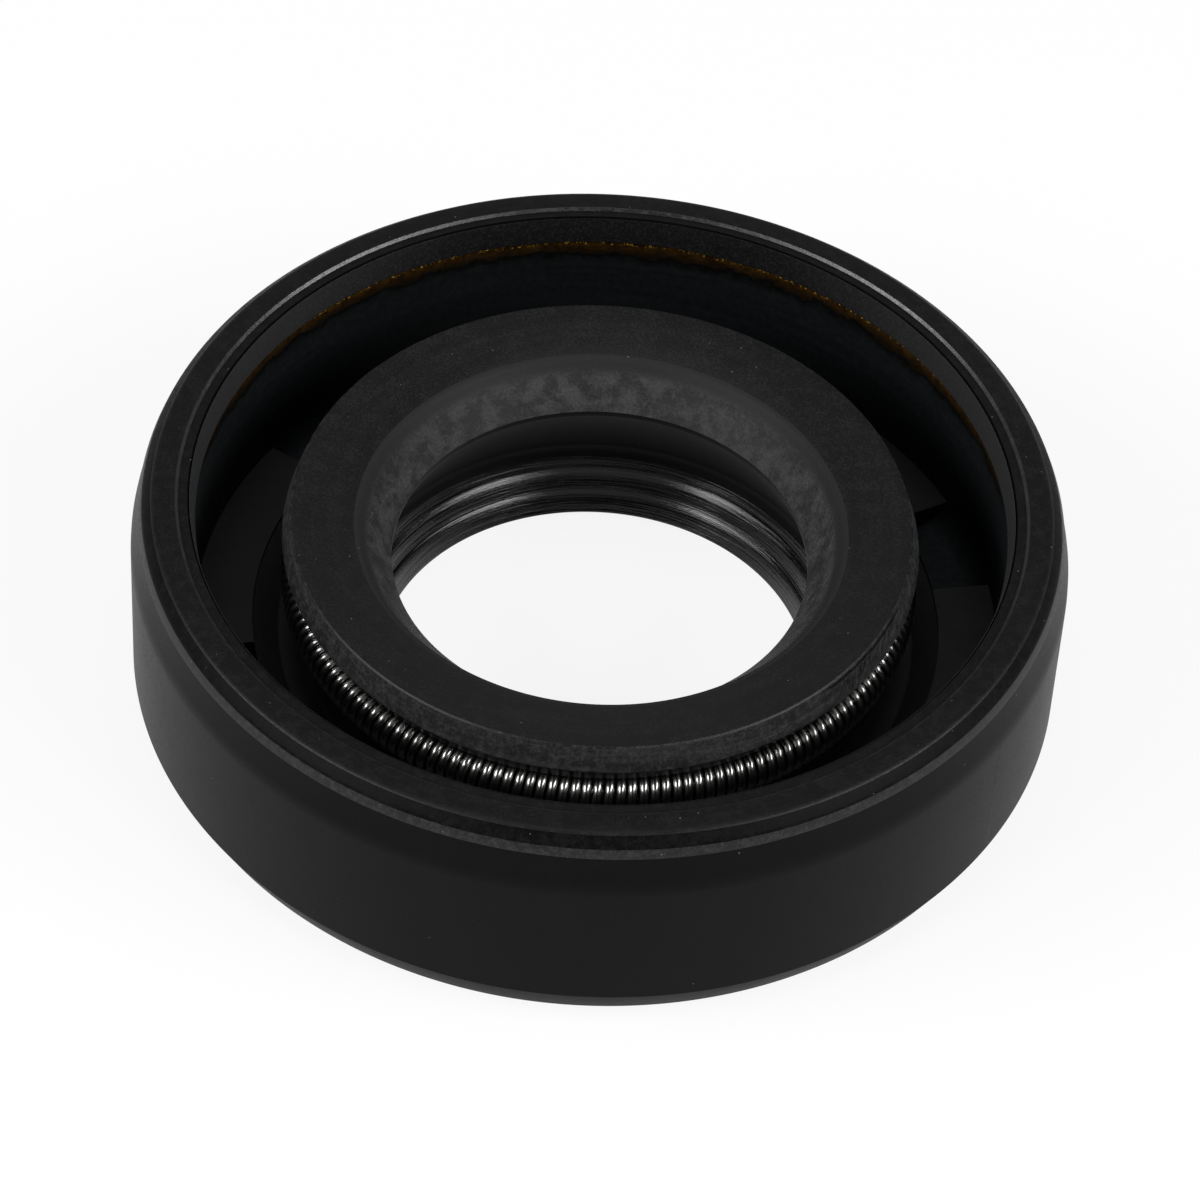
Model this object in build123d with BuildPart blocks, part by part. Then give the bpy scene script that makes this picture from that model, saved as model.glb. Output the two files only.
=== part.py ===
"""Rubber-covered radial shaft seal with a dust lip, for a 12 mm shaft in a 25 mm housing bore.

One moulded rubber body carries a bonded steel case, L-shaped in section, and an endless garter
spring that sits in a groove round the head of the main lip. The seal lies on its back: the air
side is at z = 0, and the oil side, with its spring, faces up. The z axis is the shaft's axis, and
everything is in millimetres.
"""

from build123d import *
import os
from math import cos, radians, sin

os.makedirs("parts", exist_ok=True)

# ---- What the seal fits ----
shaft_diameter = 12.0
housing_bore = 25.0
seal_width = 6.8
press_allowance = 0.3  # the free outside is this much larger than the housing bore
lip_squeeze = 0.72  # the free main lip is this much smaller than the shaft
dust_lip_squeeze = 0.2  # the same for the dust lip

# ---- Steel case: one drawn piece, a cylinder with a flange turned inwards at its foot ----
case_thickness = 0.8
case_bend = 1.0  # inside radius between the cylinder and the flange
bend_inside_count = 2  # rounds are drawn with a few flats
bend_outside_count = 3
outer_cover = 0.79  # rubber outside the cylinder
rim_cover = 0.85  # rubber over the cylinder's free edge
rim_overhang = 0.15  # by which that rubber stands inwards of the cylinder
back_cover = 0.7  # rubber under the flange
flange_eye_radius = 8.95

# ---- Rubber outside ----
lead_in_height = 0.97  # steep taper that starts the press fit
lead_in_inset = 0.24
rim_bevel_height = 0.46  # between the lead-in and the flat rim
rim_bevel_inset = 0.36
back_bevel_height = 1.0
back_bevel_inset = 0.52
rim_edge_width = 0.21  # the rim's inner edge falls off a little
rim_edge_drop = 0.06
rim_side_taper = 0.09  # the side below that edge leans inwards to its foot

# ---- Rubber pads on the flange, and the pockets between them, where the mould held the case ----
pad_thickness = 0.6
pad_inner_radius = 9.4
pocket_count = 6
pocket_angle = 17.5  # degrees
pocket_bearing = 19.8  # degrees, the middle of the first pocket

# ---- Main lip ----
lip_height = 4.39  # upper end of the sealing edge, above the back
lip_land = 0.15  # height of the edge that touches the shaft
oil_cone_width = 0.91  # the cone above the edge widens by this much
oil_cone_height = 1.21
head_rise = 0.32  # the head's top face rises by this much towards its outer edge
head_brow_rise = 1.37  # from the spring's centre up to the brow over its groove
head_brow_reach = 0.6  # and outwards to it
head_side_taper = 0.23  # the head narrows by this much from the brow to its top edge

# ---- Garter spring: endless, and close-wound, so each turn touches the next ----
spring_ring_radius = 8.0
spring_height = 3.83
coil_diameter = 1.3
turns_in_quarter = 44
valley_depth = 0.1  # between one turn of the wire and the next
coil_sides = 6
groove_clearance = 0.03
groove_foot = 285  # degrees round the coil, from outside, over the top: where the groove ends
groove_brow = 76  # and where it starts
groove_count = 4

# ---- Flexing neck under the head, the trough beside it, the pocket behind the lip ----
neck_radius = 7.75
neck_foot_height = 1.95
neck_head_height = 2.75
trough_height = 1.55
trough_inner_radius = 8.0
trough_outer_radius = 8.74
pocket_radius = 6.87
pocket_height = 1.86

# ---- Dust lip and the recess in the back ----
dust_lip_height = 0.17
dust_lip_tip = 0.08
recess_depth = 0.59
recess_inner_radius = 6.48
recess_outer_radius = 8.5
recess_rim_radius = 8.8

# ---- Derived sizes ----
outer_radius = (housing_bore + press_allowance) / 2
lip_radius = (shaft_diameter - lip_squeeze) / 2
dust_lip_radius = (shaft_diameter - dust_lip_squeeze) / 2
case_outer_radius = outer_radius - outer_cover
case_inner_radius = case_outer_radius - case_thickness
case_top = seal_width - rim_cover
flange_top = back_cover + case_thickness
pad_top = flange_top + pad_thickness
pocket_width = case_inner_radius - pad_inner_radius
lead_in_top = seal_width - rim_bevel_height
lead_in_top_radius = outer_radius - lead_in_inset
rim_inner_radius = case_inner_radius - rim_overhang
rim_edge_radius = rim_inner_radius + rim_side_taper
head_inner_radius = lip_radius + oil_cone_width
head_inner_height = lip_height + oil_cone_height
coil_radius = coil_diameter / 2
head_brow_radius = spring_ring_radius + head_brow_reach
head_outer_radius = head_brow_radius - head_side_taper
head_brow_height = spring_height + head_brow_rise
quarter_turn = 90


def flats(across, up, radius, start, end, count, outside=False):
    """Corners of a round drawn with flats, from one angle to another, in degrees.

    The corners lie on the round. With outside set, the flats' middles do instead, so that a
    round thing of that radius still fits in.
    """
    step = (end - start) / count
    reach = radius / cos(radians(step / 2)) if outside else radius
    turns = [radians(start + step * flat) for flat in range(count + 1)]
    return [(across + reach * cos(turn), up + reach * sin(turn)) for turn in turns]


# The bend's two faces share one centre. The section starts at the flange's eye.
bend_across = case_inner_radius - case_bend
bend_up = flange_top + case_bend
case_section = [
    (flange_eye_radius, back_cover),
    *flats(bend_across, bend_up, case_bend + case_thickness, -90, 0, bend_outside_count),
    (case_outer_radius, case_top),
    (case_inner_radius, case_top),
    *flats(bend_across, bend_up, case_bend, 0, -90, bend_inside_count),
    (flange_eye_radius, flange_top),
]

# ---- Steel case ----
with BuildPart() as metal_case:
    with BuildSketch(Plane.XZ):
        with BuildLine():
            Polyline(*case_section, close=True)
        make_face()
    revolve(axis=Axis.Z)

# ---- Garter spring: each turn swells from a valley to a crest, lofted for a quarter of the ring ----
with BuildPart() as spring_quarter:
    for half_turn in range(2 * turns_in_quarter + 1):
        bearing = radians(quarter_turn * half_turn / (2 * turns_in_quarter))
        outward = (cos(bearing), sin(bearing), 0)
        centre = (spring_ring_radius * cos(bearing), spring_ring_radius * sin(bearing), spring_height)
        along = (-sin(bearing), cos(bearing), 0)
        depth = valley_depth if half_turn % 2 == 0 else 0
        with BuildSketch(Plane(origin=centre, x_dir=outward, z_dir=along)):
            RegularPolygon(radius=coil_radius - depth, side_count=coil_sides)
    loft(ruled=True)

with BuildPart() as garter_spring:
    with PolarLocations(0, 4):
        add(spring_quarter.part)

# ---- Rubber body: the section from the back, round the outside, down inside, and over the lips ----
rubber_section = [
    (recess_rim_radius, 0),
    (outer_radius - back_bevel_inset, 0),
    (outer_radius, back_bevel_height),
    (outer_radius, lead_in_top - lead_in_height),
    (lead_in_top_radius, lead_in_top),
    (lead_in_top_radius - rim_bevel_inset, seal_width),
    (rim_edge_radius + rim_edge_width, seal_width),
    (rim_edge_radius, seal_width - rim_edge_drop),
    (rim_inner_radius, case_top),
    (case_inner_radius, case_top),
    (case_inner_radius, pad_top),
    (pad_inner_radius, pad_top),
    (trough_outer_radius, trough_height),
    (trough_inner_radius, trough_height),
    (neck_radius, neck_foot_height),
    (neck_radius, neck_head_height),
    *flats(
        spring_ring_radius,
        spring_height,
        coil_radius + groove_clearance,
        groove_foot,
        groove_brow,
        groove_count,
        outside=True,
    ),
    (head_brow_radius, head_brow_height),
    (head_outer_radius, head_inner_height + head_rise),
    (head_inner_radius, head_inner_height),
    (lip_radius, lip_height),
    (lip_radius, lip_height - lip_land),
    (pocket_radius, pocket_height),
    (dust_lip_radius, dust_lip_height),
    (dust_lip_radius + dust_lip_tip, dust_lip_height - dust_lip_tip),
    (recess_inner_radius, recess_depth),
    (recess_outer_radius, recess_depth),
]

with BuildPart() as pad_pocket:
    with BuildSketch(Plane.XZ):
        with Locations((pad_inner_radius, flange_top)):
            Rectangle(pocket_width, pad_thickness, align=(Align.MIN, Align.MIN))
    revolve(axis=Axis.Z, revolution_arc=pocket_angle)

with BuildPart() as rubber_body:
    with BuildSketch(Plane.XZ):
        with BuildLine():
            Polyline(*rubber_section, close=True)
        make_face()
        with BuildLine():
            Polyline(*case_section, close=True)
        make_face(mode=Mode.SUBTRACT)
    revolve(axis=Axis.Z)
    with PolarLocations(0, pocket_count, start_angle=pocket_bearing - pocket_angle / 2):
        add(pad_pocket.part, mode=Mode.SUBTRACT)

metal_case.part.label = "metal_case"
export_step(metal_case.part, "parts/metal_case.step")

garter_spring.part.label = "garter_spring"
export_step(garter_spring.part, "parts/garter_spring.step")

rubber_body.part.label = "rubber_body"
export_step(rubber_body.part, "parts/rubber_body.step")
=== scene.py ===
"""Radial shaft seal: the rubber body, the steel case and the garter spring, dressed and lit.

Every size is in millimetres, as a maker's drawing gives it, and meshes are scaled to metres as
they are made. The seal lies on its back with its axis along z, and its oil side faces up.
"""

import logging
from dataclasses import dataclass
from enum import Enum
from math import ceil, cos, degrees, pi, radians, sin, sqrt, tan, tanh, tau

import bmesh
import bpy
from mathutils import Matrix, Vector, noise


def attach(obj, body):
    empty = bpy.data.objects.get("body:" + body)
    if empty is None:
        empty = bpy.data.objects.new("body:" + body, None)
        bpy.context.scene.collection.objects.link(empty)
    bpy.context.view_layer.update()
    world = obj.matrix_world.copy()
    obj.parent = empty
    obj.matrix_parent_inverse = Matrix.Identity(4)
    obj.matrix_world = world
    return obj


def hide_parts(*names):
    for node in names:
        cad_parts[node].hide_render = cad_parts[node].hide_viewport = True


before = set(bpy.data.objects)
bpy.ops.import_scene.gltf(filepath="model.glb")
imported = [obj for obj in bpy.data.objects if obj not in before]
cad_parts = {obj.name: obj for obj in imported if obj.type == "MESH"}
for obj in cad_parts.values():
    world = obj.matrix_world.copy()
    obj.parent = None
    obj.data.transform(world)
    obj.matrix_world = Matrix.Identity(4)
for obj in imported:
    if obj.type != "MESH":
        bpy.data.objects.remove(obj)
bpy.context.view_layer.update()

LOG = logging.getLogger("seal")
MM = 0.001
FILLET_STEP = 18.0  # the most degrees that a fillet turns from one ring to the next

Pair = tuple[float, float]
Triple = tuple[float, float, float]
Colour = tuple[float, float, float, float]
Outputs = dict[str, bpy.types.NodeSocket]
Mark = tuple[bpy.types.NodeSocket, float]


def grey(value: float) -> Colour:
    """Gives the neutral colour of a linear brightness."""
    return (value, value, value, 1.0)


# ------------------------------------------------------------------ sections and turned meshes


class Surface(Enum):
    """The kinds of surface that a section passes along."""

    BONDED = "bonded"
    BACK = "back"
    FOOT = "foot"
    OUTSIDE = "outside"
    FACET = "facet"
    BEVEL = "bevel"
    RIM = "rim"
    RIM_EDGE = "rim_edge"
    LEDGE = "ledge"
    STRIP = "strip"
    FLOOR = "floor"
    TROUGH = "trough"
    GROOVE = "groove"
    LIP_SIDE = "lip_side"
    LIP_EDGE = "lip_edge"
    LIP_TOP = "lip_top"
    OIL_CONE = "oil_cone"
    UNDERCUT = "undercut"
    AIR_SIDE = "air_side"


@dataclass(frozen=True)
class Corner:
    """A corner of a section, and the run that leaves it.

    Attributes:
        radius: Distance from the axis.
        height: Height above the seal's back.
        rounding: Radius of the fillet on the corner, or 0 for a sharp one.
        surface: The surface of the run from this corner to the next.
        rows: How many rows of faces that run is divided into.
        pocket: Radius and height of the corner in a pocket between pads, if it moves there.
    """

    radius: float
    height: float
    rounding: float = 0.0
    surface: Surface = Surface.BONDED
    rows: int = 1
    pocket: Pair | None = None


@dataclass(frozen=True)
class Ring:
    """One ring of vertices of a turned mesh.

    Attributes:
        place: Radius and height.
        pocket: Radius and height in a pocket.
        surface: The surface of the faces between this ring and the next.
    """

    place: Pair
    pocket: Pair
    surface: Surface


def arc_corners(centre: Pair, radius: float, start: float, end: float, step: float,
                surface: Surface = Surface.BONDED) -> list[Corner]:
    """Gives corners along an arc of a section.

    Args:
        centre: Radius and height of the arc's centre.
        radius: Radius of the arc.
        start: Angle of its first corner, in degrees from outwards.
        end: Angle of its last corner.
        step: The most degrees from one corner to the next.
        surface: The surface that the arc makes.

    Returns:
        The corners, both ends included.
    """
    count = ceil(abs(end - start) / step)
    angles = [radians(start + (end - start) * turn / count) for turn in range(count + 1)]
    return [
        Corner(centre[0] + radius * cos(angle), centre[1] + radius * sin(angle), surface=surface)
        for angle in angles
    ]


def fillet(corner: Corner, before: Corner, after: Corner) -> list[Vector]:
    """Rounds one corner of a section.

    Args:
        corner: The corner.
        before: The corner before it.
        after: The corner after it.

    Returns:
        The points that stand for the corner: itself, if it is sharp.
    """
    here = Vector((corner.radius, corner.height))
    if corner.rounding <= 0:
        return [here]
    back = (Vector((before.radius, before.height)) - here).normalized()
    ahead = (Vector((after.radius, after.height)) - here).normalized()
    turn = pi - back.angle(ahead)
    reach = corner.rounding * tan(turn / 2)
    middle = here + (back + ahead).normalized() * (corner.rounding / cos(turn / 2))
    first, last = here + back * reach - middle, here + ahead * reach - middle
    side = 1 if first.x * last.y > first.y * last.x else -1
    steps = max(2, ceil(degrees(turn) / FILLET_STEP))
    return [middle + Matrix.Rotation(side * turn * index / steps, 2) @ first
            for index in range(steps + 1)]


def section_rings(corners: list[Corner]) -> list[Ring]:
    """Rounds the corners of a closed section and divides its runs.

    Args:
        corners: The section's corners, in order.

    Returns:
        The rings of the turned mesh, in the same order.
    """
    count = len(corners)
    rounds = [
        fillet(corner, corners[index - 1], corners[(index + 1) % count])
        for index, corner in enumerate(corners)
    ]
    rings: list[Ring] = []
    for index, corner in enumerate(corners):
        for point in rounds[index]:
            rings.append(Ring(tuple(point), corner.pocket or tuple(point), corner.surface))
        start, end = rounds[index][-1], rounds[(index + 1) % count][0]
        for row in range(1, corner.rows):
            point = tuple(start.lerp(end, row / corner.rows))
            rings.append(Ring(point, point, corner.surface))
    return rings


def loop_faces(loops: int, rows: int, flipped: bool = False) -> list[tuple[int, ...]]:
    """Gives the faces of a mesh that closes on itself both round the loops and from row to row.

    Args:
        loops: How many loops of vertices there are, one after another.
        rows: The vertices in each loop.
        flipped: Whether the faces look the other way.

    Returns:
        Indices of each face's vertices, loop by loop.
    """
    faces: list[tuple[int, ...]] = []
    for loop in range(loops):
        here, there = loop * rows, (loop + 1) % loops * rows
        for row in range(rows):
            after = (row + 1) % rows
            face = (here + row, there + row, there + after, here + after)
            faces.append((face[0], *face[:0:-1]) if flipped else face)
    return faces


def mesh_piece(name: str, points: list[Triple], faces: list[tuple[int, ...]]) -> bpy.types.Object:
    """Makes a mesh object from points in millimetres.

    Args:
        name: The piece's name.
        points: The vertices, in millimetres.
        faces: Indices of each face's vertices.

    Returns:
        The new object, in metres, linked to the scene.
    """
    mesh = bpy.data.meshes.new(name)
    mesh.from_pydata([Vector(point) * MM for point in points], [], faces)
    mesh.update()
    piece = bpy.data.objects.new(name, mesh)
    bpy.context.scene.collection.objects.link(piece)
    return piece


def weld(piece: bpy.types.Object, reach: float = 1e-7) -> None:
    """Joins vertices that coincide, and drops the faces that this leaves empty.

    Args:
        piece: The mesh object.
        reach: How far apart joined vertices may be, in metres.
    """
    shape = bmesh.new()
    shape.from_mesh(piece.data)
    bmesh.ops.remove_doubles(shape, verts=shape.verts, dist=reach)
    bmesh.ops.dissolve_degenerate(shape, edges=shape.edges, dist=reach)
    shape.to_mesh(piece.data)
    shape.free()
    piece.data.update()


def smooth(piece: bpy.types.Object, sharp_angle: float) -> None:
    """Shades a mesh smooth up to an angle, and keeps its large faces flat.

    Args:
        piece: The mesh object.
        sharp_angle: Edges that turn by more degrees than this stay sharp.
    """
    piece.data.shade_smooth()
    piece.data.set_sharp_from_angle(angle=radians(sharp_angle))
    weighted = piece.modifiers.new("Large faces flat", "WEIGHTED_NORMAL")
    weighted.keep_sharp = True


def seat(piece: bpy.types.Object, node: str) -> None:
    """Puts a finished piece in place of its CAD node.

    Args:
        piece: The piece.
        node: The CAD node that it stands for.
    """
    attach(piece, "root")
    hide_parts(node)
    LOG.info("%s: %d faces, for node %s", piece.name, len(piece.data.polygons), node)


# ------------------------------------------------------------------ node trees and shared effects


class NodeTree:
    """A builder that adds nodes to a tree and joins their sockets."""

    def __init__(self, tree: bpy.types.NodeTree) -> None:
        """Keeps the tree."""
        self.tree = tree

    def add(self, kind: str, **settings: object) -> bpy.types.Node:
        """Adds a node.

        Args:
            kind: The node's type.
            settings: Properties to set on it.

        Returns:
            The new node.
        """
        node = self.tree.nodes.new(kind)
        for key, value in settings.items():
            setattr(node, key, value)
        return node

    def feed(self, target: bpy.types.NodeSocket, source: object) -> None:
        """Links a source to an input, or sets the input to a plain value.

        Args:
            target: The input socket.
            source: An output socket, a number or a tuple.
        """
        if isinstance(source, bpy.types.NodeSocket):
            self.tree.links.new(source, target)
        else:
            target.default_value = source

    def give(self, node: bpy.types.Node, **sources: object) -> bpy.types.Node:
        """Feeds a node's inputs by name.

        Args:
            node: The node.
            sources: Sockets, numbers or tuples, each under the name of its input in lower case
                with underscores.

        Returns:
            The same node.
        """
        for target in node.inputs:
            key = target.name.lower().replace(" ", "_")
            if key in sources:
                self.feed(target, sources[key])
        return node

    def fill(self, kind: str, sources: tuple[object, ...], **settings: object) -> bpy.types.Node:
        """Adds a node and feeds its first inputs in order.

        Args:
            kind: The node's type.
            sources: Sockets, numbers or tuples.
            settings: Properties to set on the node.

        Returns:
            The new node.
        """
        node = self.add(kind, **settings)
        for target, source in zip(node.inputs, sources):
            self.feed(target, source)
        return node

    def math(self, operation: str, *sources: object, clamp: bool = False) -> bpy.types.NodeSocket:
        """Adds a Math node.

        Args:
            operation: Blender's name for the operation.
            sources: Sockets or numbers for its inputs.
            clamp: Whether the result stays between 0 and 1.

        Returns:
            The result.
        """
        return self.fill("ShaderNodeMath", sources, operation=operation, use_clamp=clamp).outputs[0]

    def vector(self, operation: str, *sources: object) -> bpy.types.NodeSocket:
        """Adds a Vector Math node.

        Args:
            operation: Blender's name for the operation.
            sources: Sockets or tuples for its inputs.

        Returns:
            The result: a number for a length, and a vector otherwise.
        """
        node = self.fill("ShaderNodeVectorMath", sources, operation=operation)
        return node.outputs["Value" if operation == "LENGTH" else "Vector"]

    def ramp(self, value: object, low: object, high: object, to_low: object = 0.0,
             to_high: object = 1.0) -> bpy.types.NodeSocket:
        """Maps a value smoothly from one range to another.

        Args:
            value: The value to map.
            low: The value that gives to_low.
            high: The value that gives to_high.
            to_low: The result at low and below.
            to_high: The result at high and above.

        Returns:
            The mapped value.
        """
        sources = (value, low, high, to_low, to_high)
        return self.fill("ShaderNodeMapRange", sources, interpolation_type="SMOOTHSTEP").outputs[0]

    def mix(self, share: object, first: object, second: object) -> bpy.types.NodeSocket:
        """Mixes two colours.

        Args:
            share: How much of the second colour there is, from 0 to 1.
            first: The first colour.
            second: The second colour.

        Returns:
            The mixed colour.
        """
        node = self.add("ShaderNodeMix", data_type="RGBA")
        colours = [socket for socket in node.inputs if socket.type == "RGBA"]
        self.feed(node.inputs["Factor"], share)
        self.feed(colours[0], first)
        self.feed(colours[1], second)
        return next(socket for socket in node.outputs if socket.type == "RGBA")

    def noise(self, place: object, scale: object, detail: float = 3.0,
              roughness: float = 0.55) -> bpy.types.NodeSocket:
        """Adds a noise texture.

        Args:
            place: The vector that it is read at.
            scale: Its cells per unit.
            detail: Its layers of finer noise.
            roughness: How strong the finer layers are.

        Returns:
            The noise, about 0.5 on average.
        """
        node = self.add("ShaderNodeTexNoise")
        self.give(node, vector=place, scale=scale, detail=detail, roughness=roughness)
        return node.outputs[0]

    def split(self, vector: object) -> bpy.types.NodeOutputs:
        """Splits a vector into its sockets X, Y and Z."""
        return self.fill("ShaderNodeSeparateXYZ", (vector,)).outputs

    def join(self, x: object, y: object, z: object) -> bpy.types.NodeSocket:
        """Makes a vector of three numbers."""
        return self.fill("ShaderNodeCombineXYZ", (x, y, z)).outputs[0]

    def place(self) -> bpy.types.NodeSocket:
        """Gives the point's place on the object, in millimetres."""
        metres = self.add("ShaderNodeTexCoord").outputs["Object"]
        return self.vector("MULTIPLY", metres, (1 / MM, 1 / MM, 1 / MM))

    def cylinder(self, place: bpy.types.NodeSocket) -> tuple[bpy.types.NodeSocket, ...]:
        """Splits a place into what turns with the bearing and what doesn't.

        Args:
            place: The place, in millimetres.

        Returns:
            The outward unit vector, the distance from the axis and the height.
        """
        flat = self.vector("MULTIPLY", place, (1, 1, 0))
        height = self.split(place)["Z"]
        return self.vector("NORMALIZE", flat), self.vector("LENGTH", flat), height

    def turn_from(self, outward: object, bearing: object) -> bpy.types.NodeSocket:
        """Measures how far a place is turned from a bearing.

        Args:
            outward: The place's outward unit vector.
            bearing: The bearing, in degrees.

        Returns:
            The turn in radians, up to pi to either side.
        """
        way = self.split(outward)
        turn = self.math("SUBTRACT", self.math("ARCTAN2", way["Y"], way["X"]),
                         self.math("RADIANS", bearing))
        return self.math("WRAP", turn, pi, -pi)

    def near(self, turn: object, spread: object, whole: float) -> bpy.types.NodeSocket:
        """Makes a mask that fades out to both sides of a bearing.

        Args:
            turn: How far the place is turned from the bearing, in radians.
            spread: Where the mask ends, in degrees.
            whole: The share of that up to which the mask is whole.

        Returns:
            The mask, from 0 to 1.
        """
        end = self.math("RADIANS", spread)
        return self.ramp(self.math("ABSOLUTE", turn), self.math("MULTIPLY", end, whole), end, 1.0, 0.0)


class Dressing(NodeTree):
    """The node tree of a new material, round the one shader that it starts with."""

    def __init__(self, name: str) -> None:
        """Makes the material."""
        self.material = bpy.data.materials.new(name)
        self.material.use_nodes = True
        super().__init__(self.material.node_tree)
        self.shader = self.tree.nodes["Principled BSDF"]

    def relief(self, height: object) -> None:
        """Raises the surface, as bump.

        Args:
            height: The height in millimetres, as a socket.
        """
        bump = self.give(self.add("ShaderNodeBump"), distance=MM, height=height)
        self.give(self.shader, normal=bump.outputs["Normal"])


@dataclass(frozen=True)
class Effect:
    """A shader node group that several finishes share.

    Attributes:
        name: The group's name.
        inputs: Each number that it takes, with the usual value.
        outputs: The masks or heights that it gives.
    """

    name: str
    inputs: dict[str, float]
    outputs: tuple[str, ...]

    def start(self) -> tuple[NodeTree, Outputs, bpy.types.Node]:
        """Makes the empty group.

        Returns:
            Its node builder, its inputs by name, and its output node.
        """
        tree = bpy.data.node_groups.new(self.name, "ShaderNodeTree")
        for label, usual in self.inputs.items():
            socket = tree.interface.new_socket(label, in_out="INPUT", socket_type="NodeSocketFloat")
            socket.default_value = usual
        for label in self.outputs:
            tree.interface.new_socket(label, in_out="OUTPUT", socket_type="NodeSocketFloat")
        builder = NodeTree(tree)
        given = builder.add("NodeGroupInput")
        result = builder.add("NodeGroupOutput")
        return builder, {label: given.outputs[label] for label in self.inputs}, result

    def use(self, nodes: NodeTree, **values: float) -> Outputs:
        """Places the group in a material.

        Args:
            nodes: The material's node builder.
            values: Its inputs, by name in lower case with underscores.

        Returns:
            The group's outputs, by name.
        """
        node = nodes.add("ShaderNodeGroup", node_tree=bpy.data.node_groups[self.name])
        nodes.give(node, **values)
        return {label: node.outputs[label] for label in self.outputs}


GRAIN = Effect("Moulded grain", {"Scale": 12.0, "Cloud Scale": 1.0}, ("Grain", "Cloud"))
RING_STREAKS = Effect("Ring streaks", {"Fineness": 12.0, "Length": 3.0}, ("Streak",))
SCUFFS = Effect("Slanted scuffs", {"Bearing": 0.0, "Spread": 40.0, "Slant": 35.0, "Fineness": 9.0},
                ("Scuff",))
DUST = Effect("Dust specks", {"Scale": 4.5, "Share": 0.1}, ("Speck",))
FISSURES = Effect("Fissures", {"Bearing": 0.0, "Spread": 12.0, "Height": 5.0}, ("Fissure",))

# The noise at which a pattern starts, and at which it is whole.
CLOUD_EDGES = (0.36, 0.66)
STREAK_EDGES = (0.38, 0.66)
SCUFF_EDGES = (0.5, 0.68)
SCRATCH_EDGES = (0.5, 0.6)

CLOUD_SHIFT = (31.0, 17.0, 5.0)  # keeps the clouds from following the grain
STREAK_CLIMB = 0.73  # how fast streaks change up a wall, against across a flat
SPECK_RADIUS = 0.05  # of the smallest speck, in cells
SPECK_SPREAD = 0.09  # by which the largest is larger
SPECK_CORE = 0.4  # the share of a speck's radius that is solid
FISSURE_WANDER = 0.12  # how far up and down a torn line wanders
FISSURE_WIDTHS = (0.02, 0.075)  # half of the line's solid width, and of its whole width
SCRATCH_LEAN = 0.9  # how far round a scratch runs for each millimetre down
SCRATCH_FINENESS = 9.0  # scratches per millimetre
SCRATCH_CURVE = 1.5  # how much they change on their way down
SCRATCH_STRENGTH = 0.9  # against the line's
SCRATCH_START = (0.0, 0.05)  # how far below the line they begin
SCRATCH_END = (0.3, 0.6)  # and fade out


def build_grain() -> None:
    """Builds the grain of a moulded surface: a fine grain and a slow cloudy bloom."""
    nodes, given, result = GRAIN.start()
    place = nodes.place()
    shifted = nodes.vector("ADD", place, CLOUD_SHIFT)
    cloud = nodes.noise(shifted, given["Cloud Scale"], detail=5.0, roughness=0.62)
    grain = nodes.noise(place, given["Scale"], detail=4.0, roughness=0.6)
    nodes.feed(result.inputs["Grain"], grain)
    nodes.feed(result.inputs["Cloud"], nodes.ramp(cloud, *CLOUD_EDGES))


def build_ring_streaks() -> None:
    """Builds streaks that run round the axis, as a turning trim or a mould's tool marks leave."""
    nodes, given, result = RING_STREAKS.start()
    outward, radius, height = nodes.cylinder(nodes.place())
    along = nodes.vector("SCALE", outward)
    nodes.give(along.node, scale=given["Length"])
    level = nodes.math("ADD", radius, nodes.math("MULTIPLY", height, STREAK_CLIMB))
    across = nodes.join(0.0, 0.0, nodes.math("MULTIPLY", level, given["Fineness"]))
    streak = nodes.noise(nodes.vector("ADD", along, across), scale=1.0, detail=3.0, roughness=0.6)
    nodes.feed(result.inputs["Streak"], nodes.ramp(streak, *STREAK_EDGES))


def build_scuffs() -> None:
    """Builds slanted scuffs round one bearing, as a knife leaves where it trims the lip."""
    nodes, given, result = SCUFFS.start()
    outward, radius, height = nodes.cylinder(nodes.place())
    turn = nodes.turn_from(outward, given["Bearing"])
    arc = nodes.math("MULTIPLY", turn, radius)
    slant = nodes.math("RADIANS", given["Slant"])
    rise, run = nodes.math("SINE", slant), nodes.math("COSINE", slant)
    across = nodes.math("SUBTRACT", nodes.math("MULTIPLY", arc, rise),
                        nodes.math("MULTIPLY", height, run))
    along = nodes.math("ADD", nodes.math("MULTIPLY", arc, run),
                       nodes.math("MULTIPLY", height, rise))
    spot = nodes.join(nodes.math("MULTIPLY", across, given["Fineness"]), along, radius)
    scuff = nodes.ramp(nodes.noise(spot, scale=1.0, detail=3.0, roughness=0.65), *SCUFF_EDGES)
    near = nodes.near(turn, given["Spread"], whole=0.35)
    nodes.feed(result.inputs["Scuff"], nodes.math("MULTIPLY", scuff, near))


def build_dust() -> None:
    """Builds sparse pale specks of dust and talc."""
    nodes, given, result = DUST.start()
    cells = nodes.give(nodes.add("ShaderNodeTexVoronoi"), vector=nodes.place(), scale=given["Scale"])
    chance = nodes.fill("ShaderNodeSeparateColor", (cells.outputs["Color"],)).outputs
    kept = nodes.math("LESS_THAN", chance["Red"], given["Share"])
    size = nodes.math("MULTIPLY_ADD", chance["Green"], SPECK_SPREAD, SPECK_RADIUS)
    core = nodes.math("MULTIPLY", size, SPECK_CORE)
    spot = nodes.ramp(cells.outputs["Distance"], core, size, 1.0, 0.0)
    nodes.feed(result.inputs["Speck"], nodes.math("MULTIPLY", spot, kept))


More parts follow.
